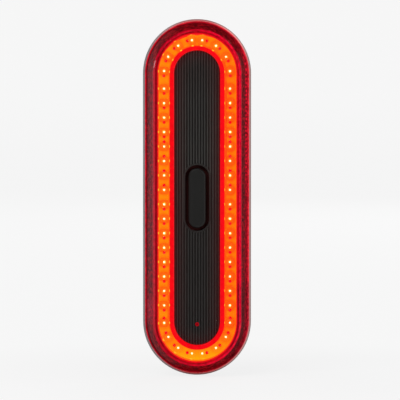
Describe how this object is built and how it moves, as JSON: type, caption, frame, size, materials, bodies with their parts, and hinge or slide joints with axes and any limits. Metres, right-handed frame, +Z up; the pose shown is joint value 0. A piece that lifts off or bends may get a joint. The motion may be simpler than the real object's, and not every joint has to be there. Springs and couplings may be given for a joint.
{
  "type": "bicycle tail light",
  "caption": "Upright bicycle tail light: round-ended tub, raised red light ring over a loop of small lights, ribbed black panel with a long push button, spring clip and port flap on the back.",
  "frame": {"origin": "centre of the housing's flat back, inside the clip's slot, on the face that a bracket's tongue slides on", "axes": "+Z up along the light, the lens faces -Y, +Y points out of the back through the clip, +X to the right of someone who looks at the lens"},
  "size_m": [0.0292, 0.0217, 0.096],
  "materials": {
    "housing": "fine satin grain",
    "frame_plastic": "satin",
    "lens_red": "clear red, moulded prisms inside the shoulder",
    "panel_black": "satin moulded ribs",
    "button_black": "satin",
    "seal_rubber": "matt",
    "flap_rubber": "matt",
    "clip_plastic": "fine satin grain",
    "component_black": "matt",
    "board_white": "white solder resist",
    "led_glow": "lit packages",
    "indicator_glow": "lit package",
    "pipe_red": "clear red",
    "screw_steel": "plain",
    "port_steel": "drawn",
    "battery_foil": "satin foil",
    "foam": "soft foam",
    "board_green": "green solder resist",
    "lead_red": "insulation",
    "lead_black": "insulation",
    "link_cream": "matt"
  },
  "bodies": {
    "body": {"rear_shell": "housing", "case_gasket": "seal_rubber", "mid_frame": "frame_plastic", "front_lens": "lens_red", "center_panel": "panel_black", "button_boot": "seal_rubber", "switch_body": "component_black", "led_board": "board_white", "led_packages": "led_glow", "mcu_chip": "component_black", "led_drivers": "component_black", "led_resistors": "component_black", "indicator_led": "indicator_glow", "light_pipe": "pipe_red", "board_screws": "screw_steel", "battery_cell": "battery_foil", "battery_pads": "foam", "protection_board": "board_green", "battery_lead_red": "lead_red", "battery_lead_black": "lead_black", "power_board": "board_green", "power_board_screws": "screw_steel", "usb_shell": "port_steel", "usb_tongue": "component_black", "charging_parts": "component_black", "board_link": "link_cream", "case_screws": "screw_steel", "rear_clip": "clip_plastic", "clip_screws": "screw_steel"},
    "button": {"button_cap": "button_black"},
    "plunger": {"switch_plunger": "component_black"},
    "flap": {"usb_flap": "flap_rubber"}
  },
  "joints": [
    {"name": "button_press", "type": "slide", "parent": "body", "child": "button", "axis": [0, 1, 0], "range_m": [0, 0.0003], "stiffness_N_per_m": 5000},
    {"name": "switch_press", "type": "slide", "parent": "body", "child": "plunger", "axis": [0, 1, 0], "range_m": [0, 0.0003]},
    {"name": "flap_hinge", "type": "hinge", "parent": "body", "child": "flap", "pos_m": [0, -0.0009, -0.02382], "axis": [1, 0, 0], "range_deg": [0, 100]}
  ],
  "couplings": [
    {"joint": "switch_press", "follows": "button_press", "ratio": 1}
  ]
}
